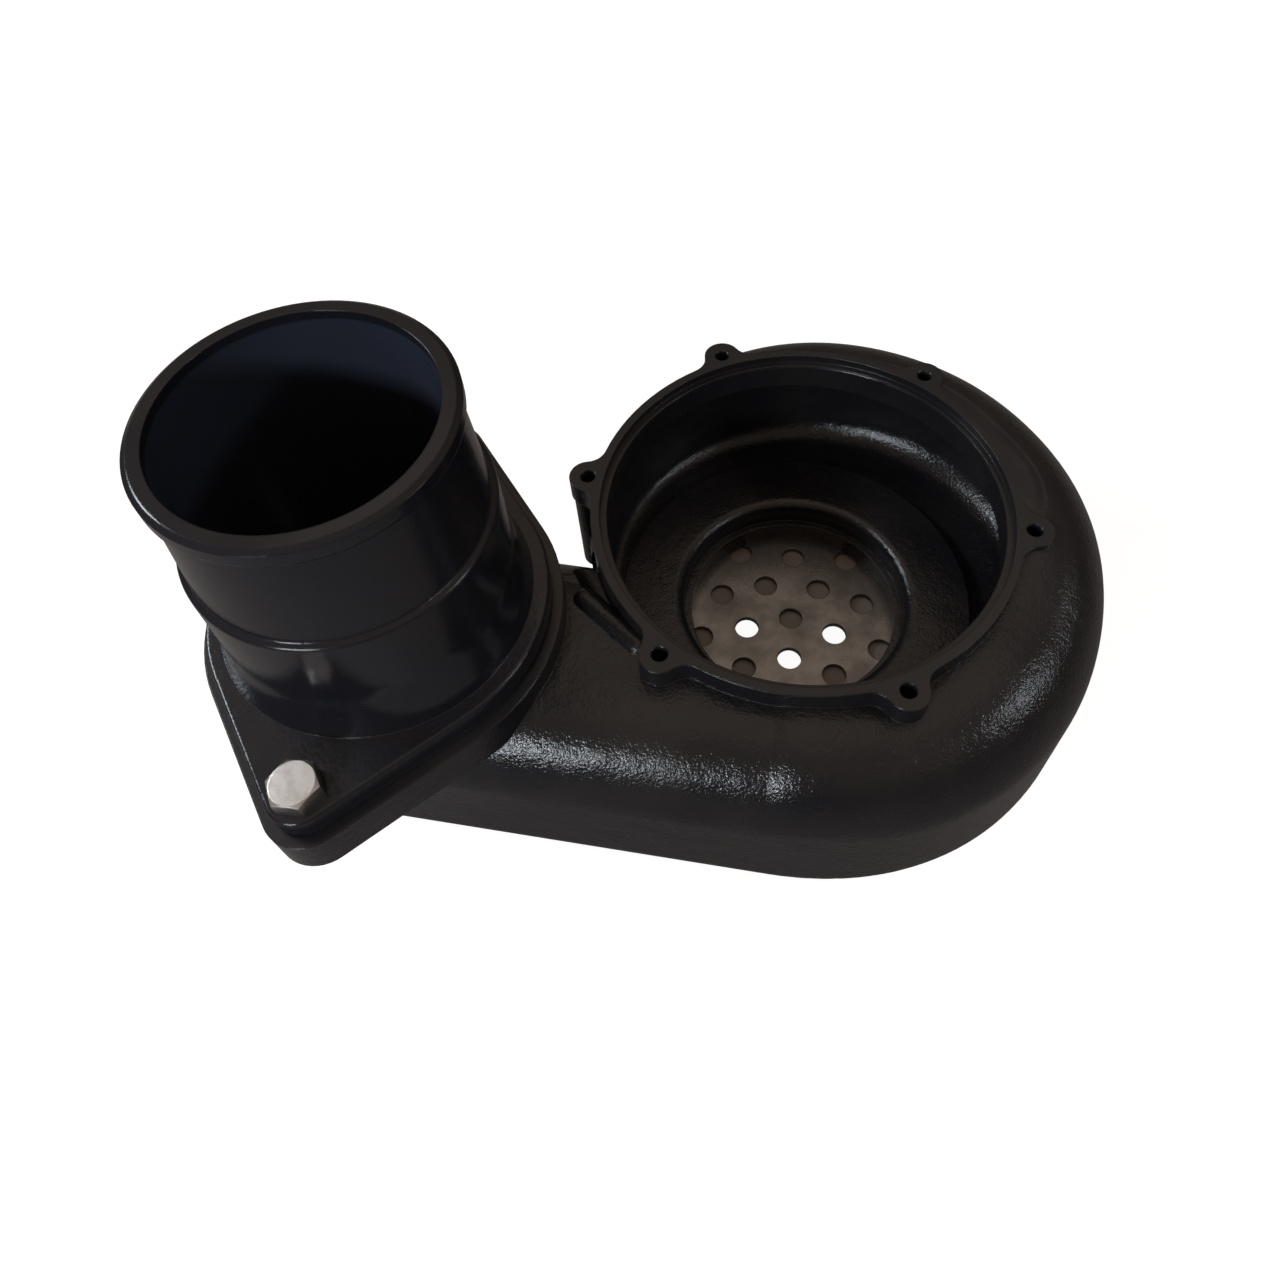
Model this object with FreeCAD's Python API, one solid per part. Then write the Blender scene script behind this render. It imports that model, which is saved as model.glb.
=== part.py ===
import FreeCAD, Part
import math
import os

# Volute pump casing with its side discharge turned upwards into a hose coupling.
# All sizes are millimetres. The origin is the centre of the motor joint face, +Z
# runs up the pump axis and the discharge leg runs towards -X.

V = FreeCAD.Vector
UP = V(0, 0, 1)

# how far a cutter runs past a face, or a joined body into its neighbour
overlap = 1.0

# motor opening
opening_r = 87.5
register_width = 3.0
register_depth = 4.0
rim_width = 7.0
rim_height = 11.0
lug_count = 6
lug_stand = 3.5
lug_pad_r = 8.6
lug_blend_r = 9.0
lug_hole_r = 3.4
lug_hole_depth = 14.0
lug_chamfer = 0.25

# bowl and suction eye
floor_z = -75.0
bottom_z = -102.0
lip_r = 59.8
lip_round = 5.3
eye_step_z = -87.5
eye_r = 51.0

# spiral wall: how the outside grows from the tongue to the leg
tongue_angle = 190.0
tongue_stand = 3.5
wall = 8.0
foot_r = 14.0
face_cut_r = 200.0
passage_top_z = -17.0
passage_floor_z = -77.0
passage_deepening = 7.0
passage_top_fall = 3.0
passage_roundness = 0.5
disc_inset = 2.5
station_step = 20.0
# at every station from tongue to leg: growth of the wall's reach, as a share of the growth at the leg,
# drop of the top face below the joint face, and radius of the shoulder
growths = (0, 0.138, 0.27, 0.397, 0.514, 0.624, 0.724, 0.811, 0.883, 0.948, 1.016, 1.07, 1.086, 1.043, 1)
top_drops = (30.0, 24.0, 16.0, 9.0, 3.0, 0.0, 0.0, 0.0, 0.0, 0.0, 4.5, 7.5, 9.5, 10.5, 11.0)
shoulders = (12.0, 13.0, 16.0, 22.0, 29.0, 34.0) + (35.0,) * 9

# discharge leg and elbow
outlet_x = -167.0
outlet_y = -82.0
leg_half_width = 56.0
leg_taper = 3.0
leg_bore_half_width = 46.0
outlet_r = 49.3
leg_bore_top = -19.0
leg_bore_foot = -85.0
leg_bore_round = 32.0
web_from_outlet = 55.0
web_from_leg = 37.0
web_rise = 8.0
web_hollow = 5.0
web_top_z = -13.0
boss_lugs = (2, 3)
boss_foot_z = -62.0
# ridge and pocket beside the rim: (angle, stand-off from the rim wall, height) of both ends
ridge_ends = ((-146.5, 9.8, -13.0), (-128.3, 2.3, -13.0))
ridge_r = 5.5
pocket_ends = ((-158.1, 4.7, -14.0), (-134.6, 2.4, -9.0))
pocket_r = 7.0

# two-bolt flanges, gasket and bolts
bolt_offset = 86.0
coupling_flange_r = 70.8
coupling_lobe_r = 13.0
coupling_flange_thick = 9.0
casing_flange_grow = 4.5
casing_flange_thick = 19.0
gasket_thick = 2.0
gasket_inset = 0.8
bolt_r = 6.0
bolt_clearance = 0.75
thread_play = 0.05
bolt_length = 28.0
bolt_across_flats = 18.0
bolt_head_height = 7.5
bolt_face_inset = 0.4
bolt_chamfer_angle = 30.0
bolt_turn = 5.0

# hose coupling
coupling_height = 121.3
coupling_face_r = 54.1
bead_r = 56.2
bead_height = 9.0
sleeve_r = 54.0
sleeve_foot_r = 57.0
step_r = 59.4
step_z = 68.7
skirt_r = 59.8
skirt_foot_z = 34.0
skirt_flare_r = 64.2
edge_round = 1.5
valley_round = 0.8
skirt_flow = 30.0

# strainer plate
plate_r = 74.5
plate_thick = 3.0
plate_fit = 0.5
plate_hole_r = 6.0
plate_ring_count = 5
plate_ring_r = (23.3, 38.0, 47.3)
plate_turn = -85.5
screw_count = 4
screw_circle_r = 66.0
screw_r = 2.5
screw_head_r = 5.0
screw_length = 12.0


# sizes that follow from the ones above
rim_r = opening_r + rim_width
lug_circle_r = rim_r + lug_stand
tongue_r = rim_r + tongue_stand
disc_r = opening_r - disc_inset


def polar(radius, angle, z=0.0):
    turn = math.radians(angle)
    return V(radius * math.cos(turn), radius * math.sin(turn), z)


def drum(radius, low, high, at=V(0, 0, 0)):
    return Part.makeCylinder(radius, high - low, V(at.x, at.y, low), UP)


def rounded_loop(corners, place):
    """Closed wire through (a, b, radius) corners, each corner rounded by its radius."""
    starts, mids, ends = [], [], []
    for i, (a, b, radius) in enumerate(corners):
        here = V(a, b, 0)
        back = V(*corners[i - 1][:2], 0) - here
        ahead = V(*corners[(i + 1) % len(corners)][:2], 0) - here
        half = back.getAngle(ahead) / 2
        back.normalize()
        ahead.normalize()
        middle = back + ahead
        middle.normalize()
        reach = radius / math.tan(half)
        starts.append(here + back * reach)
        mids.append(here + middle * (radius / math.sin(half) - radius))
        ends.append(here + ahead * reach)
    edges = []
    for i in range(len(corners)):
        put = [place(p.x, p.y) for p in (starts[i], mids[i], ends[i], starts[(i + 1) % len(corners)])]
        if corners[i][2] > 0:
            edges.append(Part.Arc(put[0], put[1], put[2]).toShape())
        edges.append(Part.makeLine(put[2], put[3]))
    return Part.Wire(edges)


def turned(corners, at=V(0, 0, 0)):
    """Solid of revolution of a rounded (radius, z) outline about the vertical through a point."""
    loop = rounded_loop(corners, lambda r, z: V(at.x + r, at.y, z))
    return Part.Face(loop).revolve(at, UP, 360)


def lug_spot(k):
    return polar(lug_circle_r, 360.0 / lug_count * k)


def bolt_spots():
    return [V(outlet_x, outlet_y + side * bolt_offset, 0) for side in (-1, 1)]


def screw_spots():
    return [polar(screw_circle_r, 360.0 / screw_count * (k + 0.5)) for k in range(screw_count)]


# ---------------------------------------------------------------- casing
def outer_radius(growth):
    """Reach of the outer wall, from the tongue (growth 0) round to the leg (growth 1)."""
    leg_reach = leg_half_width - outlet_y - leg_taper
    return tongue_r + (leg_reach - tongue_r) * growth


def spiral(rows):
    loops = []
    for angle, corners in rows:
        loops.append(rounded_loop(corners, lambda r, z, a=angle: polar(r, a, z)))
    return Part.makeLoft(loops, True, False)


def stations():
    """Angle, share of the way round, reach, top drop and shoulder radius at every station."""
    for i, (growth, drop, shoulder) in enumerate(zip(growths, top_drops, shoulders)):
        share = i / (len(growths) - 1)
        yield tongue_angle - station_step * i, share, outer_radius(growth), drop, shoulder


def spiral_outside():
    rows = []
    heart = opening_r - wall
    for angle, share, reach, drop, shoulder in stations():
        foot = min(foot_r, shoulder)
        corners = ((heart, -drop, 0), (reach, -drop, shoulder), (reach, bottom_z, foot), (heart, bottom_z, 0))
        rows.append((angle, corners))
    return spiral(rows)


def spiral_passage():
    rows = []
    for angle, share, outside, drop, shoulder in stations():
        reach = outside - wall
        corner = (reach - disc_r) * passage_roundness
        top = passage_top_z - passage_top_fall * share
        low = passage_floor_z - passage_deepening * share
        rows.append((angle, ((disc_r, top, 0), (reach, top, corner), (reach, low, corner), (disc_r, low, 0))))
    return spiral(rows)


def slab(loop_outline, low, high):
    face = Part.Face(loop_outline)
    face.translate(V(0, 0, low))
    return face.extrude(V(0, 0, high - low))


def diamond(radius, lobe):
    """Two-bolt flange outline about the outlet: a round middle, two lobes, tangent sides."""
    lean = math.degrees(math.asin((radius - lobe) / bolt_offset))
    hub = V(outlet_x, outlet_y, 0)
    arcs = []
    for turn in (0, 90, 180, 270):
        on_lobe = turn % 180 == 90
        reach = lobe if on_lobe else radius
        half = 90 - lean if on_lobe else lean
        centre = hub + polar(bolt_offset if on_lobe else 0, turn)
        arcs.append([centre + polar(reach, turn + side * half) for side in (-1, 0, 1)])
    edges = []
    for i, (start, mid, end) in enumerate(arcs):
        edges.append(Part.Arc(start, mid, end).toShape())
        edges.append(Part.makeLine(end, arcs[(i + 1) % len(arcs)][0]))
    return Part.Wire(edges)


def leg_loop(half_width, top, foot, upper_round, lower_round, x, taper):
    """Cross-section of the leg at one x; the taper narrows its outer side."""
    near = outlet_y - half_width + taper
    far = outlet_y + half_width
    corners = (
        (near, foot, lower_round),
        (far, foot, lower_round),
        (far, top, upper_round),
        (near, top, upper_round),
    )
    return rounded_loop(corners, lambda y, z: V(x, y, z))


def leg_shape(half_width, top, foot, upper_round, lower_round):
    """Leg along -X, widening towards its end, which is turned round the outlet axis."""
    size = (half_width, top, foot, upper_round, lower_round)
    bar = Part.makeLoft([leg_loop(*size, 0, leg_taper), leg_loop(*size, outlet_x, 0)], True, True)
    half = ((0, foot, 0), (half_width, foot, lower_round), (half_width, top, upper_round), (0, top, 0))
    return bar.fuse(turned(half, V(outlet_x, outlet_y, 0)))


def lug_outline(k):
    """Round pad on the lug circle running into the rim through two hollow curves."""
    angle = 360.0 / lug_count * k
    swing = rim_r + lug_blend_r
    arm = lug_pad_r + lug_blend_r
    cosine = (swing ** 2 + lug_circle_r ** 2 - arm ** 2) / (2 * lug_circle_r * swing)
    open_angle = math.degrees(math.acos(cosine))
    pad = polar(lug_circle_r, angle)
    sides = []
    for side in (-1, 1):
        hollow = polar(swing, angle + side * open_angle)
        on_rim = polar(rim_r - overlap, angle + side * open_angle)
        touch_rim = polar(rim_r, angle + side * open_angle)
        to_pad = pad - hollow
        to_pad.normalize()
        touch_pad = hollow + to_pad * lug_blend_r
        inward = touch_pad + touch_rim - hollow * 2
        inward.normalize()
        sides.append((on_rim, touch_rim, hollow + inward * lug_blend_r, touch_pad))
    left, right = sides
    tip = pad + polar(lug_pad_r, angle)
    edges = [
        Part.makeLine(left[0], left[1]),
        Part.Arc(left[1], left[2], left[3]).toShape(),
        Part.Arc(left[3], tip, right[3]).toShape(),
        Part.Arc(right[3], right[2], right[1]).toShape(),
        Part.makeLine(right[1], right[0]),
        Part.makeLine(right[0], left[0]),
    ]
    return Part.Wire(edges)


def bar_beside_rim(ends, radius):
    """Round-ended bar whose ends stand off the rim wall."""
    start, end = (polar(rim_r + stand, angle, z) for angle, stand, z in ends)
    along = end - start
    bar = Part.makeCylinder(radius, along.Length, start, along)
    return bar.fuse([Part.makeSphere(radius, start), Part.makeSphere(radius, end)])


def corner_web():
    """Flat web with a hollow edge between the elbow flange and the bowl wall."""
    left = outlet_x + web_from_outlet
    right = -disc_r
    near_flange = V(left, outlet_y + web_from_leg, 0)
    near_bowl = V(right, outlet_y + web_from_leg + web_rise, 0)
    inner = V(right, outlet_y, 0)
    outer = V(left, outlet_y, 0)
    sag = (near_flange + near_bowl) * 0.5 - V(0, web_hollow, 0)
    edges = [
        Part.Arc(near_flange, sag, near_bowl).toShape(),
        Part.makeLine(near_bowl, inner),
        Part.makeLine(inner, outer),
        Part.makeLine(outer, near_flange),
    ]
    return slab(Part.Wire(edges), bottom_z + foot_r, web_top_z)


def bowl_hollow():
    corners = (
        (0, overlap, 0),
        (opening_r + register_width, overlap, 0),
        (opening_r + register_width, -register_depth, 0),
        (opening_r, -register_depth, 0),
        (opening_r, floor_z, 0),
        (lip_r - lip_round, floor_z, lip_round),
        (lip_r - lip_round, eye_step_z, 0),
        (eye_r, eye_step_z, 0),
        (eye_r, bottom_z + plate_thick, 0),
        (plate_r + plate_fit, bottom_z + plate_thick, 0),
        (plate_r + plate_fit, bottom_z - overlap, 0),
        (0, bottom_z - overlap, 0),
    )
    return turned(corners)


def volute_casing():
    leg_top = -top_drops[-1]
    shoulder = shoulders[-1]
    flange_r = coupling_flange_r + casing_flange_grow
    lobe_r = coupling_lobe_r + casing_flange_grow
    hub = V(outlet_x, outlet_y, 0)
    leg = leg_shape(leg_half_width, leg_top, bottom_z, shoulder, foot_r).fuse(corner_web())
    solids = [
        drum(rim_r, bottom_z, 0),
        leg.cut(bar_beside_rim(pocket_ends, pocket_r)),
        drum(leg_half_width, (leg_top + bottom_z) / 2, -gasket_thick, hub),
        slab(diamond(flange_r, lobe_r), -casing_flange_thick, 0),
    ]
    for k in range(lug_count):
        solids.append(slab(lug_outline(k), -rim_height, 0))
    for k in boss_lugs:
        solids.append(drum(lug_pad_r - overlap, boss_foot_z, -rim_height, lug_spot(k)))
    solids.append(bar_beside_rim(ridge_ends, ridge_r))
    body = spiral_outside().fuse(solids).cut(drum(face_cut_r, 0, rim_height)).removeSplitter()
    bore = leg_shape(leg_bore_half_width, leg_bore_top, leg_bore_foot, leg_bore_round, leg_bore_round)
    cuts = [
        bowl_hollow(),
        spiral_passage(),
        bore.cut(drum(disc_r, bottom_z, floor_z)),
        drum(outlet_r, (leg_bore_top + leg_bore_foot) / 2, overlap, hub),
    ]
    for k in range(lug_count):
        spot = lug_spot(k)
        mouth = V(spot.x, spot.y, -lug_chamfer)
        cuts.append(drum(lug_hole_r, -lug_hole_depth, overlap, spot))
        cuts.append(Part.makeCone(lug_hole_r, lug_hole_r + lug_chamfer, lug_chamfer, mouth, UP))
    for spot in bolt_spots():
        cuts.append(drum(bolt_r + thread_play, -casing_flange_thick - overlap, overlap, spot))
    for spot in screw_spots():
        cuts.append(drum(screw_r + thread_play, bottom_z, bottom_z + screw_length + overlap, spot))
    return body.cut(cuts)


# ---------------------------------------------------------------- bolted-on pieces
def edges_at(shape, level):
    """Edges lying in one horizontal plane."""
    tiny = 1e-6
    boxes = [(edge, edge.BoundBox) for edge in shape.Edges]
    return [edge for edge, box in boxes if abs(box.ZMin - level) < tiny and abs(box.ZMax - level) < tiny]


def hose_coupling():
    hub = V(outlet_x, outlet_y, 0)
    low = gasket_thick
    high = gasket_thick + coupling_flange_thick
    flange = slab(diamond(coupling_flange_r, coupling_lobe_r), low, high)
    flange = flange.makeFillet(edge_round, edges_at(flange, high))
    corners = (
        (outlet_r, low, 0),
        (skirt_flare_r, low, 0),
        (skirt_flare_r, high, 0),
        (skirt_r, skirt_foot_z, skirt_flow),
        (step_r, step_z, edge_round),
        (sleeve_foot_r, step_z + edge_round, valley_round),
        (sleeve_r, coupling_height - bead_height, valley_round),
        (bead_r, coupling_height - bead_height + edge_round, edge_round),
        (bead_r, coupling_height - edge_round, 0),
        (coupling_face_r, coupling_height, 0),
        (outlet_r, coupling_height, 0),
    )
    tube = turned(corners, hub)
    body = flange.fuse(tube).removeSplitter()
    cuts = [drum(outlet_r, low - overlap, coupling_height + overlap, hub)]
    for spot in bolt_spots():
        cuts.append(drum(bolt_r + bolt_clearance, low - overlap, high + overlap, spot))
    return body.cut(cuts)


def flange_gasket():
    hub = V(outlet_x, outlet_y, 0)
    sheet = slab(diamond(coupling_flange_r - gasket_inset, coupling_lobe_r - gasket_inset), 0, gasket_thick)
    cuts = [drum(outlet_r + gasket_inset, -overlap, gasket_thick + overlap, hub)]
    for spot in bolt_spots():
        cuts.append(drum(bolt_r + bolt_clearance, -overlap, gasket_thick + overlap, spot))
    return sheet.cut(cuts)


def hex_bolt(at):
    seat = gasket_thick + coupling_flange_thick
    corner_r = bolt_across_flats / math.sqrt(3)
    points = [V(at.x, at.y, seat) + polar(corner_r, 60 * i + bolt_turn) for i in range(7)]
    head = Part.Face(Part.makePolygon(points)).extrude(V(0, 0, bolt_head_height))
    top_r = bolt_across_flats / 2 - bolt_face_inset
    spread = bolt_head_height / math.tan(math.radians(bolt_chamfer_angle))
    cone = Part.makeCone(top_r + spread, top_r, bolt_head_height, V(at.x, at.y, seat), UP)
    shank = drum(bolt_r, seat - bolt_length, seat + overlap, at)
    return head.common(cone).fuse(shank).removeSplitter()


def flange_bolts():
    return Part.makeCompound([hex_bolt(spot) for spot in bolt_spots()])


def strainer_plate():
    top = bottom_z + plate_thick
    sheet = drum(plate_r, bottom_z, top)
    cuts = [drum(plate_hole_r, bottom_z - overlap, top + overlap)]
    pitch = 360.0 / plate_ring_count
    for ring, ring_r in enumerate(plate_ring_r):
        lag = pitch / 2 if ring == 1 else 0
        for k in range(plate_ring_count):
            spot = polar(ring_r, plate_turn + lag + pitch * k)
            cuts.append(drum(plate_hole_r, bottom_z - overlap, top + overlap, spot))
    for spot in screw_spots():
        cuts.append(countersink(spot, thread_play))
    return sheet.cut(cuts)


def countersink(at, play):
    """Flat-headed screw standing on its head, grown by the play all round."""
    head_depth = screw_head_r - screw_r
    head = Part.makeCone(screw_head_r + play, screw_r + play, head_depth, V(at.x, at.y, bottom_z), UP)
    return head.fuse(drum(screw_r + play, bottom_z, bottom_z + screw_length, at)).removeSplitter()


def strainer_screws():
    return Part.makeCompound([countersink(spot, 0) for spot in screw_spots()])


os.makedirs("parts", exist_ok=True)
PIECES = {
    "volute_casing": volute_casing,
    "hose_coupling": hose_coupling,
    "flange_gasket": flange_gasket,
    "flange_bolts": flange_bolts,
    "strainer_plate": strainer_plate,
    "strainer_screws": strainer_screws,
}
for name, make in PIECES.items():
    shape = make()
    shape.exportStep("parts/" + name + ".step")
    print(name, len(shape.Solids), "solids", round(shape.Volume / 1000), "cm3", "valid", shape.isValid())
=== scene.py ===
# %% [markdown]
# # A volute pump casing
# This lesson dresses the bottom half of a drainage pump: a snail-shaped iron
# casting whose outlet turns upwards into a bolted hose coupling. The solids come
# ready made from the packed frame, so the work here is finish, light and view.
# Everything stays in metres and in the frame of the solids.

# %% Load the frame
import bpy
import bmesh
import math
from mathutils import Matrix, Vector


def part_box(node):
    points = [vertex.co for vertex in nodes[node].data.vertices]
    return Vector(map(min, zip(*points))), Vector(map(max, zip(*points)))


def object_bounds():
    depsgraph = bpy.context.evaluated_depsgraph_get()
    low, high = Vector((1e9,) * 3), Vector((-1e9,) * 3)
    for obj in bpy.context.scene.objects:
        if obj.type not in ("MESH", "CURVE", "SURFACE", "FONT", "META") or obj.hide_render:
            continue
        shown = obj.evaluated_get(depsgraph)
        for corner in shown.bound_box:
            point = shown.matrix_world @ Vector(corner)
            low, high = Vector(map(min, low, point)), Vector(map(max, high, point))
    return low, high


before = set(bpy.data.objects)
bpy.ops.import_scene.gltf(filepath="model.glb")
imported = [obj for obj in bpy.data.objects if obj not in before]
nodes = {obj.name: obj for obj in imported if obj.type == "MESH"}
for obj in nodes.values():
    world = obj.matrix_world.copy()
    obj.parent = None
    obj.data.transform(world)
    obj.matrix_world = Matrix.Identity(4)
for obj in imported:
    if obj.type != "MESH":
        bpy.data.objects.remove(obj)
cad_low, cad_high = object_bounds()
centre = (cad_low + cad_high) / 2
print("solids:", sorted(nodes))
print("size in mm:", [round(v * 1000, 1) for v in cad_high - cad_low])

# %% [markdown]
# ## Writing shader maths as sums
# A finish is a small sum over the surface: so much grain here, less on the turned
# faces. Wiring each Math node by hand hides that sum, so one class wraps a socket
# and turns Python's operators into Math nodes. Its `make` method adds any other
# node: first its settings, then the values or links of its sockets.

# %% The socket wrapper
class Wire:
    """A node socket that can be added, subtracted and multiplied."""

    def __init__(self, tree, socket=None):
        self.tree = tree
        self.socket = socket

    def make(self, kind, settings=None, sockets=None, output=0):
        node = self.tree.nodes.new(kind)
        for name, value in (settings or {}).items():
            if name == "stops":
                ramp = node.color_ramp.elements
                while len(ramp) < len(value):
                    ramp.new(0.5)
                for stop, (place, grey) in zip(ramp, value):
                    stop.position = place
                    stop.color = (grey, grey, grey, 1)
            else:
                setattr(node, name, value)
        for name, value in (sockets or {}).items():
            if isinstance(value, Wire):
                self.tree.links.new(node.inputs[name], value.socket)
            else:
                node.inputs[name].default_value = value
        return Wire(self.tree, node.outputs[output] if node.outputs else None)

    def maths(self, operation, first, second=0.0):
        return self.make("ShaderNodeMath", {"operation": operation}, {0: first, 1: second})

    def __add__(self, other):
        return self.maths("ADD", self, other)

    def __sub__(self, other):
        return self.maths("SUBTRACT", self, other)

    def __rsub__(self, other):
        return self.maths("SUBTRACT", other, self)

    def __mul__(self, other):
        return self.maths("MULTIPLY", self, other)

    __radd__ = __add__
    __rmul__ = __mul__

    def ramp(self, low, high):
        """0 below low, 1 above high, smooth between."""
        settings = {"interpolation_type": "SMOOTHSTEP"}
        return self.make("ShaderNodeMapRange", settings, {"Value": self, "From Min": low, "From Max": high})


def mixed(amount, first, second):
    """A colour between two colours."""
    settings = {"data_type": "RGBA"}
    return amount.make("ShaderNodeMix", settings, {0: amount, 6: first, 7: second}, output=2)


def new_material(name):
    material = bpy.data.materials.new(name)
    material.use_nodes = True
    material.node_tree.nodes.clear()
    return material, Wire(material.node_tree)


def close_material(start, shader):
    start.make("ShaderNodeOutputMaterial", None, {"Surface": shader})


print("shader maths ready:", [name for name in ("__add__", "__sub__", "__mul__") if name in vars(Wire)])


# %% [markdown]
# ## Where a point lies
# The casing is painted all over, so what tells its faces apart is how they were
# made. Cast faces carry the grain of the sand, faces turned on a lathe are smooth.
# The frame's origin is the middle of the motor joint face, so height and distance
# from the pump axis are enough to say which kind of face a point is on.

# %% Position helpers
def place(start):
    return start.make("ShaderNodeTexCoord", output=3)


def heights(start, at):
    x = at.make("ShaderNodeSeparateXYZ", None, {0: at}, output=0)
    y = at.make("ShaderNodeSeparateXYZ", None, {0: at}, output=1)
    z = at.make("ShaderNodeSeparateXYZ", None, {0: at}, output=2)
    return x, y, z


def distance_from_axis(x, y, axis=(0.0, 0.0)):
    across = x - axis[0]
    along = y - axis[1]
    return across.maths("SQRT", across * across + along * along)


def noise(at, scale, detail=2.0, roughness=0.5, distortion=0.0):
    sockets = {"Vector": at, "Scale": scale, "Detail": detail,
               "Roughness": roughness, "Distortion": distortion}
    return at.make("ShaderNodeTexNoise", None, sockets)


def rounded_normal(start, radius):
    """Softens sharp edges in the shading only, as paint does."""
    return start.make("ShaderNodeBevel", {"samples": 4}, {"Radius": radius})


def bumped(height, distance, normal, strength=1.0):
    sockets = {"Strength": strength, "Distance": distance, "Height": height, "Normal": normal}
    return height.make("ShaderNodeBump", None, sockets)


print("pump axis at x, y = 0, joint face at z = 0, top in mm:", round(cad_high.z * 1000, 1))


# %% [markdown]
# ## Black enamel on cast iron
# The casting is dipped or brushed in a black gloss enamel over a sand-cast skin.
# The enamel fills the finest pits and leaves a pebbled gloss that breaks each
# highlight into sparks. Two layers of noise make the pebbles, a slow third one
# changes how glossy the paint is, and the turned joint face gets hardly any grain.

# %% Casting finish
register_reach = 0.0910
cast_grain = 0.00055
edge_softness = 0.0008
paint_ior = 1.45


def enamelled_casting():
    material, start = new_material("enamelled_casting")
    at = place(start)
    x, y, z = heights(start, at)
    axis_r = distance_from_axis(x, y)
    on_joint = z.ramp(-0.0009, -0.0004)
    in_register = (1 - axis_r.ramp(register_reach, register_reach + 0.0003)) * z.ramp(-0.0055, -0.0045)
    turned = on_joint.maths("MAXIMUM", on_joint, in_register)
    cast = 1 - 0.9 * turned
    pebbles = noise(at, 850, 2.0, 0.6)
    lumps = noise(at, 300, 1.0, 0.5)
    waves = noise(at, 60, 2.0, 0.5)
    skin = (pebbles * 0.5 + lumps * 0.3 + waves * 0.9) * cast
    slow = noise(at, 22, 3.0, 0.6).ramp(0.35, 0.7)
    colour = mixed(slow, (0.011, 0.0112, 0.0138, 1), (0.017, 0.0158, 0.017, 1))
    gloss = 0.15 + 0.08 * slow + 0.1 * turned
    normal = bumped(skin, cast_grain, rounded_normal(start, edge_softness))
    shader = start.make("ShaderNodeBsdfPrincipled", None, {
        "Base Color": colour, "Roughness": gloss, "Normal": normal, "IOR": paint_ior})
    close_material(start, shader)
    return material


casting_enamel = enamelled_casting()
print("casting enamel nodes:", len(casting_enamel.node_tree.nodes))

# %% [markdown]
# ## Black enamel on the coupling
# The coupling is turned in its bore and on its outer face before painting, so its
# tube is smooth and shows the room as soft bands. Only a slow unevenness of the
# paint and a whisper of lathe lines remain. Its flange keeps a little cast grain.
# Its bore is painted a lighter blue-black, which is painted light standing in for a soft bluish fill.

# %% Coupling finish
low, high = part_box("hose_coupling")
tube_axis = ((low.x + high.x) / 2, (low.y + high.y) / 2)
turned_grain = 0.0004
print("coupling axis in mm:", [round(v * 1000, 1) for v in tube_axis])


def enamelled_coupling():
    material, start = new_material("enamelled_coupling")
    at = place(start)
    x, y, z = heights(start, at)
    on_flange = 1 - z.ramp(0.0105, 0.0125)
    lathe = z.maths("SINE", z * 4200)
    runs = noise(at, 45, 2.0, 0.5)
    grain = noise(at, 520, 2.0, 0.5)
    skin = lathe * 0.012 + runs * 0.5 + grain * (0.05 + 0.3 * on_flange)
    slow = noise(at, 18, 3.0, 0.6).ramp(0.35, 0.7)
    outside = mixed(slow, (0.010, 0.0108, 0.0150, 1), (0.013, 0.013, 0.016, 1))
    # Painted light: the bore takes a lighter bluish colour that stands in for the soft blue fill light deep
    # in the tube.
    bore_painted_light = 1 - distance_from_axis(x, y, tube_axis).ramp(0.0493, 0.0497)
    colour = mixed(bore_painted_light * z.ramp(0.118, 0.1165), outside, (0.024, 0.028, 0.042, 1))
    gloss = 0.14 + 0.06 * slow + 0.05 * on_flange
    normal = bumped(skin, turned_grain, rounded_normal(start, edge_softness))
    shader = start.make("ShaderNodeBsdfPrincipled", None, {
        "Base Color": colour, "Roughness": gloss, "Normal": normal, "IOR": paint_ior})
    close_material(start, shader)
    return material


coupling_enamel = enamelled_coupling()
print("coupling enamel nodes:", len(coupling_enamel.node_tree.nodes))

# %% [markdown]
# ## Gasket, bolts and strainer
# The gasket is plain dark sheet. The bolts and screws are bright stainless, cold
# headed and tumbled, so their faces are satin with fine scratches. The strainer is
# a punched steel disc gone dull, with a cloudy film that differs from place to place.

# %% Small finishes
def gasket_rubber():
    material, start = new_material("gasket_rubber")
    at = place(start)
    grain = noise(at, 900, 2.0, 0.6)
    colour = mixed(grain, (0.012, 0.012, 0.012, 1), (0.028, 0.026, 0.025, 1))
    shader = start.make("ShaderNodeBsdfPrincipled", None, {
        "Base Color": colour, "Roughness": 0.6 + 0.2 * grain,
        "Normal": bumped(grain, 0.0001, rounded_normal(start, 0.0003))})
    close_material(start, shader)
    return material


def stainless(name):
    material, start = new_material(name)
    at = place(start)
    scratches = noise(at, 1500, 3.0, 0.7, 1.5)
    tarnish = noise(at, 160, 3.0, 0.6).ramp(0.4, 0.75)
    colour = mixed(tarnish, (0.62, 0.6, 0.58, 1), (0.45, 0.43, 0.41, 1))
    shader = start.make("ShaderNodeBsdfPrincipled", None, {
        "Base Color": colour, "Metallic": 1.0, "Roughness": 0.26 + 0.12 * scratches,
        "Normal": bumped(scratches, 0.00005, rounded_normal(start, 0.0005))})
    close_material(start, shader)
    return material


def strainer_steel():
    material, start = new_material("strainer_steel")
    at = place(start)
    film = noise(at, 55, 4.0, 0.6).ramp(0.3, 0.75)
    grain = noise(at, 1800, 2.0, 0.6)
    colour = mixed(film, (0.22, 0.215, 0.215, 1), (0.13, 0.127, 0.126, 1))
    shader = start.make("ShaderNodeBsdfPrincipled", None, {
        "Base Color": colour, "Metallic": 1.0, "Roughness": 0.24 + 0.12 * film,
        "Normal": bumped(grain, 0.00006, rounded_normal(start, 0.0004))})
    close_material(start, shader)
    return material


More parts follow.
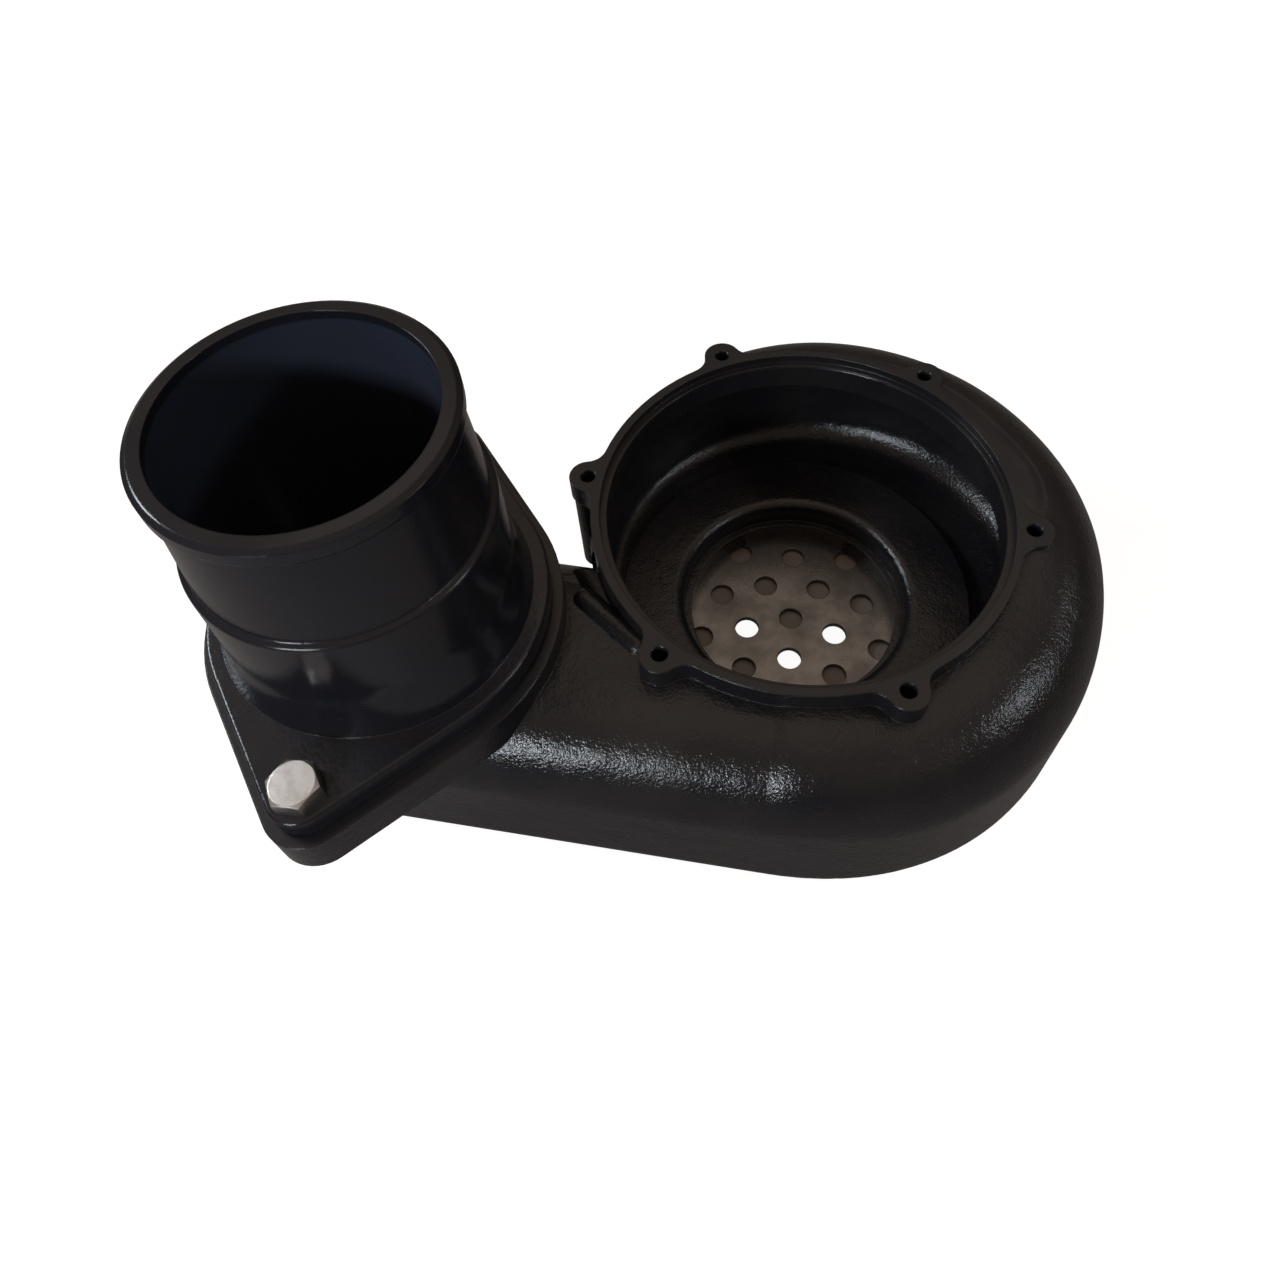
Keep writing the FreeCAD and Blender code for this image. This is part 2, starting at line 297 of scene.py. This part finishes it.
# %% [markdown]
# ## One finish on each piece
# Each real piece is of one stuff all over, so it takes one finish in its one slot.
# The casting and the coupling are painted apart, before they are bolted together.

# %% Put the finishes on
finishes = {
    "volute_casing": casting_enamel,
    "hose_coupling": coupling_enamel,
    "flange_gasket": gasket_rubber(),
    "flange_bolts": stainless("stainless_bolts"),
    "strainer_plate": strainer_steel(),
    "strainer_screws": stainless("stainless_screws"),
}
for name, material in finishes.items():
    slots = nodes[name].material_slots
    for slot in slots:
        slot.material = material
    print(name, "faces:", len(nodes[name].data.polygons), "slots:", len(slots))

# %% [markdown]
# ## Floor, light and view
# Black gloss shows nothing of its own: it is seen by what it mirrors. Three soft
# panels stand round the casing, one in front, one at the left and a weaker one at
# the right. A broad faint one hangs overhead, and a dim warm room fills the rest.
# The floor itself is matt and mid grey, so that it throws little light upwards. A
# glow that is almost wholly for the eye makes it read as white. Under the strainer
# that glow is cut out to paint the shade there, apart from three painted bright
# spots that show through drain holes.

# %% Floor and surroundings
# Drain holes below which the floor is painted bright, as if light came through them.
painted_bright_holes = [(0.0233, -85.5), (0.0233, -13.5), (0.0233, 202.5)]


def background_glow(start, straight, mirrored):
    """How much the floor glows for the eye, and how much in a mirror or through glass."""
    camera, glossy, through = [start.make("ShaderNodeLightPath", output=name) for name in
                               ("Is Camera Ray", "Is Glossy Ray", "Is Transmission Ray")]
    return straight * camera + mirrored * camera.maths("MAXIMUM", glossy, through)


def painted_shade_under_strainer(start):
    """1 beside the casing; 0 under the strainer, where the glow is cut to paint its shade; and 1 again in
    painted bright spots below a few drain holes.
    """
    at = start.make("ShaderNodeNewGeometry", output="Position")
    x, y, z = heights(start, at)
    light = distance_from_axis(x, y).ramp(0.062, 0.072)
    for ring_r, angle in painted_bright_holes:
        turn = math.radians(angle)
        spot = (ring_r * math.cos(turn), ring_r * math.sin(turn))
        light = light.maths("MAXIMUM", light, 1 - distance_from_axis(x, y, spot).ramp(0.007, 0.009))
    return light


def floor_material():
    material, start = new_material("pale_floor")
    matt = start.make("ShaderNodeBsdfDiffuse", None, {"Color": (0.22, 0.2, 0.19, 1)})
    none, full = [start.make("ShaderNodeEmission", None, {"Color": (1, 1, 1, 1), "Strength": strength})
                  for strength in (0.0, 1.0)]
    # Painted shade and light: the floor's glow is cut out under the strainer and painted back in spots
    # below three drain holes.
    share = background_glow(start, 0.93, 0.03) * painted_shade_under_strainer(start)
    glow = start.make("ShaderNodeMixShader", None, {0: share, 1: none, 2: full})
    close_material(start, start.make("ShaderNodeAddShader", None, {0: matt, 1: glow}))
    return material


def make_floor(level, half):
    mesh = bpy.data.meshes.new("floor")
    shape = bmesh.new()
    bmesh.ops.create_grid(shape, x_segments=1, y_segments=1, size=half)
    shape.to_mesh(mesh)
    shape.free()
    floor = bpy.data.objects.new("floor", mesh)
    floor.location = (centre.x, centre.y, level)
    mesh.materials.append(floor_material())
    bpy.context.scene.collection.objects.link(floor)
    return floor


floor = make_floor(cad_low.z, 6.0)
print("floor height in mm:", round(floor.location.z * 1000, 1))

world = bpy.data.worlds.new("room")
bpy.context.scene.world = world
world.use_nodes = True
world.node_tree.nodes.clear()
room = Wire(world.node_tree)
up_there = room.make("ShaderNodeSeparateXYZ", None, {0: room.make("ShaderNodeTexCoord")}, output=2)
room_colour = (1.0, 0.77, 0.6, 1)
low_room, high_room = [room.make("ShaderNodeBackground", None, {"Color": room_colour, "Strength": strength})
                       for strength in (0.08, 0.33)]
dim = room.make("ShaderNodeMixShader", None, {0: up_there.ramp(0.1, 0.9), 1: low_room, 2: high_room})
white = room.make("ShaderNodeBackground", None, {"Color": (1, 1, 1, 1), "Strength": 1.0})
camera_ray = room.make("ShaderNodeLightPath", output="Is Camera Ray")
sky = room.make("ShaderNodeMixShader", None, {0: camera_ray, 1: dim, 2: white})
room.make("ShaderNodeOutputWorld", None, {"Surface": sky})


# %% Lamps
def lamp(name, azimuth, elevation, distance, size, power, colour):
    """A soft panel seen from the casing at that azimuth and elevation, facing it."""
    data = bpy.data.lights.new(name, "AREA")
    data.shape = "RECTANGLE"
    data.size, data.size_y = size
    data.energy = power
    data.color = colour
    turn, rise = math.radians(azimuth), math.radians(elevation)
    away = Vector((math.sin(turn) * math.cos(rise), -math.cos(turn) * math.cos(rise), math.sin(rise)))
    panel = bpy.data.objects.new(name, data)
    panel.location = centre + away * distance
    panel.rotation_euler = away.to_track_quat("Z", "Y").to_euler()
    bpy.context.scene.collection.objects.link(panel)
    return panel


cool = (0.86, 0.93, 1.0)
warm = (1.0, 0.85, 0.7)
lamps = [
    lamp("front_panel", -20, 22, 1.3, (0.4, 0.14), 8, cool),
    lamp("left_panel", -95, 36, 1.3, (0.4, 0.2), 7, cool),
    lamp("right_panel", 85, 30, 1.4, (0.3, 0.15), 2.5, cool),
    lamp("top_panel", 190, 78, 1.6, (1.6, 1.6), 2.2, warm),
]
print("lamps in watts:", {panel.name: round(panel.data.energy, 1) for panel in lamps})

# %% [markdown]
# ## Camera
# The casing is looked down on from the front, a little from the right, by a camera
# about half a metre away with a normal lens. Its frame sits a little low, which the
# lens shift allows without tilting the view.

# %% Camera
eye = Vector((0.00387, -0.28380, 0.36915))
right = Vector((0.97934, 0.19415, -0.05659))
up = Vector((-0.12161, 0.78899, 0.60225))
back = right.cross(up)
view = bpy.data.cameras.new("view")
view.sensor_width = 36.0
view.lens = 29.364
view.shift_y = -0.1041
camera = bpy.data.objects.new("view", view)
camera.matrix_world = Matrix.Translation(eye) @ Matrix((right, up, back)).transposed().to_4x4()
bpy.context.scene.collection.objects.link(camera)
bpy.context.scene.camera = camera
bpy.context.scene.view_settings.view_transform = "Standard"
print("camera distance in mm:", round((eye - centre).length * 1000))
